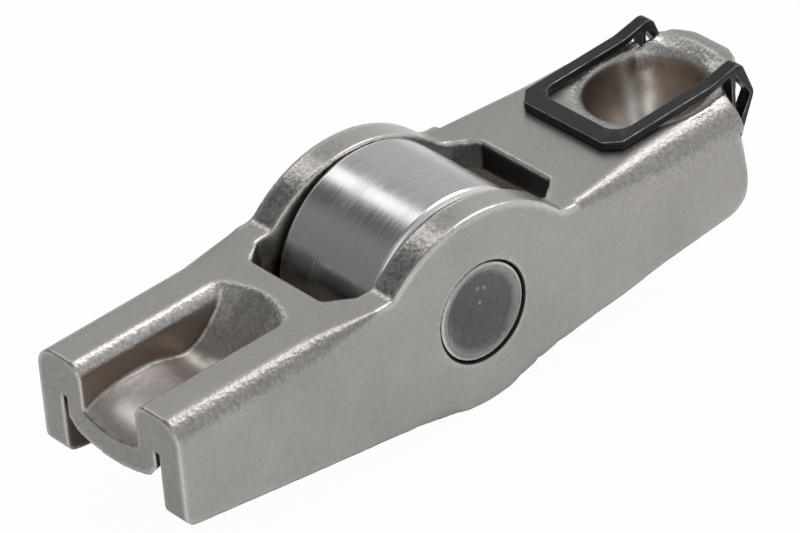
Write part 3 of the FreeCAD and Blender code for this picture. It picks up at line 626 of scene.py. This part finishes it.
# The chamfer's thin bright line is a painted highlight on the turned edge
tone = add_mix(tree, chamfer, tone, RIM_HIGHLIGHT)
tone = add_mix(tree, add_math(tree, "MULTIPLY", specks, DINT_SHARE), tone, DINT_BRIGHT)
tone = add_mix(tree, 1.0, tone, cloudy["Value"], "MULTIPLY")
tree.links.new(tone, shader.inputs["Base Color"])
shader.inputs["Metallic"].default_value = 1.0
tree.links.new(add_range(tree, ring_part, 0.0, 1.0, PRESSED_DULL, RING_DULL), shader.inputs["Roughness"])
add_relief(tree, shader, add_math(tree, "ADD", cloudy["Height"], specks), DINT_DEPTH)
half = [(share * PIN_RADIUS, PIN_END + step) for share, step in PIN_PROFILE]
pin = make_piece("staked_pin", turn([(r, -at) for r, at in reversed(half)] + half, PIN_STEPS), pin_steel)
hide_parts("axle_pin")
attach(pin, "arm")


# Roller: a ring of bearing steel, hardened and ground all round.
# The wheel leaves fine lines round the rim; both rims are rounded and polished bright.
ROLLER_STEPS = 160
ROLLER_BORE = 0.00554
RIM_ROUND = 0.00055
GROUND_DARK = (0.44, 0.445, 0.45, 1.0)
GROUND_LIGHT = (0.66, 0.66, 0.655, 1.0)
POLISHED = (0.92, 0.91, 0.89, 1.0)
POLISHED_START = (0.00463, 0.00475)
ALONG_LINES = (0.07, 1.0, 0.07)
LINE_SCALE, PATCH_SCALE = 5200.0, 900.0
LINE_DEPTH = 0.0000045
LINE_SPAN, GROUND_DULL = (0.7, 1.3), (0.18, 0.30)

ground_steel, tree, shader, place = new_material("ground_bearing_steel")
stretch = tree.nodes.new("ShaderNodeMapping")
stretch.inputs["Scale"].default_value = ALONG_LINES
tree.links.new(place, stretch.inputs["Vector"])
lines = add_noise(tree, stretch.outputs["Vector"], LINE_SCALE, 4.0, 0.62)
patches = add_noise(tree, stretch.outputs["Vector"], PATCH_SCALE, 2.0)
tone = add_mix(tree, lines, GROUND_DARK, GROUND_LIGHT)
polished = add_range(tree, add_math(tree, "ABSOLUTE", add_axes(tree, place)["Y"]), *POLISHED_START)
tone = add_mix(tree, polished, tone, POLISHED)
tree.links.new(tone, shader.inputs["Base Color"])
shader.inputs["Metallic"].default_value = 1.0
dullness = add_range(tree, add_math(tree, "ADD", lines, patches), *LINE_SPAN, *GROUND_DULL)
tree.links.new(dullness, shader.inputs["Roughness"])
add_relief(tree, shader, lines, LINE_DEPTH)
roller_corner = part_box("roller")[1]
rim_radius, rim_place = roller_corner.z, roller_corner.y
wheel = turn([
    (ROLLER_BORE, -rim_place), (rim_radius, -rim_place), (rim_radius, rim_place), (ROLLER_BORE, rim_place),
    (ROLLER_BORE, -rim_place)], ROLLER_STEPS)


def on_rim(edge):
    """A rim runs round the outside, with both its ends on one face of the ring."""
    ends = [vertex.co for vertex in edge.verts]
    return abs(ends[0].y - ends[1].y) < WELD and all(math.hypot(at.x, at.z) > rim_radius - 1e-5 for at in ends)


rims = [edge for edge in wheel.edges if on_rim(edge)]
bmesh.ops.bevel(wheel, geom=rims, offset=RIM_ROUND, affect="EDGES", segments=4, profile=0.5, material=-1)
ring = make_piece("ground_ring", wheel, ground_steel)
even = ring.modifiers.new("even_shading", "WEIGHTED_NORMAL")
even.keep_sharp = False
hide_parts("roller")
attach(ring, "roller")


# Needles: nineteen loose rolling pins that fill the space between the pin and the roller.
# They are of the same ground bearing steel and are hidden once the arm is put together.
for name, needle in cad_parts.items():
    if name.startswith("needle"):
        for slot in needle.material_slots:
            slot.material = ground_steel


# Retaining clip: spring steel strip with a black oxide finish, worn light along its edges by rubbing and
# painted with a highlight there.
# It lies over the socket and grips the adjuster's neck; its legs hook over the tongue.
CLIP_EDGE = 0.00006
SHARP_TURN = math.radians(50.0)
CORNER_CUT = 0.00115
LEG_START = 0.0274
LEG_WAIST_DROP = 0.0031
LEG_STRETCH = 1.36
OXIDE_BLACK = (0.0105, 0.0115, 0.0130, 1.0)
BARE_SPRING_GLINT = (0.30, 0.30, 0.305, 1.0)
OXIDE_DULL = (0.44, 0.36)
RUB_SCALE, RUB_EDGE, RUB_LEAST = 700.0, (0.35, 0.6), 0.25

black_spring, tree, shader, place = new_material("black_spring_steel")
cloudy = add_group(tree, mottle, place, Cloud=0.15, Speck=0.25)
patchy = add_range(tree, add_noise(tree, place, RUB_SCALE, 3.0), *RUB_EDGE, RUB_LEAST, 1.0)
bare_glint = add_math(tree, "MULTIPLY", add_paint(tree, "rubbed_glint"), patchy)
tone = add_mix(tree, bare_glint, OXIDE_BLACK, BARE_SPRING_GLINT)
tone = add_mix(tree, 1.0, tone, cloudy["Value"], "MULTIPLY")
tree.links.new(tone, shader.inputs["Base Color"])
tree.links.new(bare_glint, shader.inputs["Metallic"])
tree.links.new(add_range(tree, cloudy["Value"], *MOTTLE_SPAN, *OXIDE_DULL), shader.inputs["Roughness"])
shader.inputs["Specular IOR Level"].default_value = 0.38
clip_low, clip_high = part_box("retaining_clip")
waist = clip_high.z - LEG_WAIST_DROP
strip = welded_copy("retaining_clip")
legs = [vertex for vertex in strip.verts if vertex.co.x > LEG_START and vertex.co.z < waist]
bmesh.ops.translate(strip, verts=legs, vec=(0.0, 0.0, -waist))
bmesh.ops.scale(strip, verts=legs, vec=(1.0, 1.0, LEG_STRETCH))
bmesh.ops.translate(strip, verts=legs, vec=(0.0, 0.0, waist))
for vertex in strip.verts:
    from_corner = (vertex.co.x - clip_low.x) + (clip_high.y - abs(vertex.co.y))
    cut = max(CORNER_CUT - from_corner, 0.0) / 2.0
    vertex.co.x += cut
    vertex.co.y -= math.copysign(cut, vertex.co.y)
sharp = [edge for edge in strip.edges if len(edge.link_faces) == 2 and edge.calc_face_angle() > SHARP_TURN]
# Bevelled edges: bare steel, with a painted highlight on them
edge_glint_mark = strip.faces.layers.float.new("rubbed_glint")
rolled = bmesh.ops.bevel(
    strip, geom=sharp, offset=CLIP_EDGE, affect="EDGES", segments=2, profile=0.5, material=-1)
for face in rolled["faces"]:
    face[edge_glint_mark] = 1.0
clip_strip = make_piece("clip_strip", strip, black_spring)
even = clip_strip.modifiers.new("even_shading", "WEIGHTED_NORMAL")
even.keep_sharp = False
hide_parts("retaining_clip")
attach(clip_strip, "arm")


# Camera: the photograph's own view, from the near side and above, with a long lens.
# It looks at the middle of the axle, turned a little about its own line of sight.
VIEW_TURN = math.radians(-38.36)
VIEW_LIFT = math.radians(32.91)
VIEW_ROLL = math.radians(-4.93)
VIEW_DISTANCE = 0.43794
VIEW_SHIFT = (-0.00080, 0.00033)
LENS = 270.0
SENSOR_WIDTH = 36.0
NEAREST = 0.01

level = math.cos(VIEW_LIFT)
back = Vector((math.sin(VIEW_TURN) * level, -math.cos(VIEW_TURN) * level, math.sin(VIEW_LIFT)))
right = Vector((math.cos(VIEW_TURN), math.sin(VIEW_TURN), 0.0))
up = back.cross(right)
rolled_right = right * math.cos(VIEW_ROLL) + up * math.sin(VIEW_ROLL)
rolled_up = up * math.cos(VIEW_ROLL) - right * math.sin(VIEW_ROLL)
camera_data = bpy.data.cameras.new("photo_view")
camera_data.lens = LENS
camera_data.sensor_width = SENSOR_WIDTH
camera_data.clip_start = NEAREST
camera = put_in_scene("photo_view", camera_data)
camera.matrix_world = Matrix((rolled_right, rolled_up, back)).transposed().to_4x4()
camera.location = rolled_right * VIEW_SHIFT[0] + rolled_up * VIEW_SHIFT[1] + back * VIEW_DISTANCE
bpy.context.scene.camera = camera


# Table: a white sheet under the arm, which looks white to the camera and in the metal.
# Right under the arm its reflection is dark, as the arm keeps the light off it there.
TABLE_HALF = 1.5
TABLE_GAP = 0.00002
TABLE_GREY = (0.85, 0.85, 0.85, 1.0)
SEEN_WHITE = 0.97
MIRRORED_WHITE, MIRRORED_UNDER = 0.70, 0.04
UNDER_ARM = (("X", 0.00135, 0.0290), ("Y", 0.0, 0.0085))
UNDER_SOFT = 0.003


def show_mix(tree, factor, first, second, output):
    """Show the second shader in place of the first by a factor."""
    blend = tree.nodes.new("ShaderNodeMixShader")
    for socket, source in zip(blend.inputs, (factor, first, second)):
        tree.links.new(source, socket)
    tree.links.new(blend.outputs["Shader"], tree.nodes[output].inputs["Surface"])


white, tree, shader, place = new_material("white_table")
shader.inputs["Base Color"].default_value = TABLE_GREY
shader.inputs["Roughness"].default_value = 0.9
shader.inputs["Specular IOR Level"].default_value = 0.0
spot = add_axes(tree, place)
under = 1.0
for label, middle, reach in UNDER_ARM:
    away = add_math(tree, "ABSOLUTE", add_math(tree, "SUBTRACT", spot[label], middle))
    under = add_math(tree, "MULTIPLY", add_range(tree, away, reach + UNDER_SOFT, reach - UNDER_SOFT), under)
glow = tree.nodes.new("ShaderNodeEmission")
rays = tree.nodes.new("ShaderNodeLightPath").outputs
seen = add_math(tree, "MULTIPLY", rays["Is Camera Ray"], SEEN_WHITE)
reflection = add_range(tree, under, 0.0, 1.0, MIRRORED_WHITE, MIRRORED_UNDER)
mirrored = add_math(tree, "MULTIPLY", rays["Is Glossy Ray"], reflection)
show_mix(
    tree, add_math(tree, "ADD", seen, mirrored), shader.outputs["BSDF"], glow.outputs["Emission"],
    "Material Output")
sheet = bmesh.new()
bmesh.ops.create_grid(sheet, x_segments=1, y_segments=1, size=TABLE_HALF)
bmesh.ops.translate(sheet, verts=sheet.verts, vec=(0.0, 0.0, cad_box[0].z - TABLE_GAP))
table = make_piece("table", sheet, white)


# Room: white to the camera, and in the metal a grey room that is lighter on the right,
# with a broad window behind the camera.
ROOM_SIDES = (
    (-1.0, 0.22), (-0.75, 0.27), (-0.45, 0.34), (-0.29, 0.13), (-0.20, 0.15), (0.0, 0.38), (0.5, 0.66))
WINDOW_LIGHT = (0.80, 0.80, 0.80, 1.0)
WINDOW_NEAR, WINDOW_LEFT = (-0.08, -0.4), (0.05, -0.35)

world = bpy.data.worlds.new("room")
world.use_nodes = True
tree = world.node_tree
room = tree.nodes["Background"]
sides = add_axes(tree, tree.nodes.new("ShaderNodeTexCoord").outputs["Generated"])
walls = tree.nodes.new("ShaderNodeValToRGB")
tree.links.new(add_range(tree, sides["X"], -1.0, 1.0), walls.inputs["Fac"])
while len(walls.color_ramp.elements) < len(ROOM_SIDES):
    walls.color_ramp.elements.new(1.0)
for stop, (at, brightness) in zip(walls.color_ramp.elements, ROOM_SIDES):
    stop.position = (at + 1.0) / 2.0
    stop.color = (brightness, brightness, brightness, 1.0)
behind_camera = add_math(
    tree, "MULTIPLY",
    add_range(tree, sides["Y"], *WINDOW_NEAR), add_range(tree, sides["X"], *WINDOW_LEFT))
tree.links.new(add_mix(tree, behind_camera, walls.outputs["Color"], WINDOW_LIGHT), room.inputs["Color"])
white_room = tree.nodes.new("ShaderNodeBackground")
rays = tree.nodes.new("ShaderNodeLightPath").outputs
show_mix(
    tree, rays["Is Camera Ray"], room.outputs["Background"], white_room.outputs["Background"],
    "World Output")
bpy.context.scene.world = world


# Soft boxes: two rectangular lamps, a narrow strip behind the arm and a broad one above it.
# Each faces the arm from half a metre away.
LAMP_DISTANCE = 0.5
SOFT_BOXES = (
    ("back_strip", (0.05, 0.66, 0.75), 0.11, 0.26, 0.15),
    ("top_box", (0.52, 0.10, 0.85), 0.20, 0.32, 0.62))

for name, direction, width, height, power in SOFT_BOXES:
    lamp = bpy.data.lights.new(name, "AREA")
    lamp.shape = "RECTANGLE"
    lamp.size = width
    lamp.size_y = height
    lamp.energy = power
    aim = Vector(direction).normalized()
    box = put_in_scene(name, lamp)
    box.location = aim * LAMP_DISTANCE
    box.rotation_euler = aim.to_track_quat("Z", "Y").to_euler()
bpy.context.scene.view_settings.view_transform = "Standard"
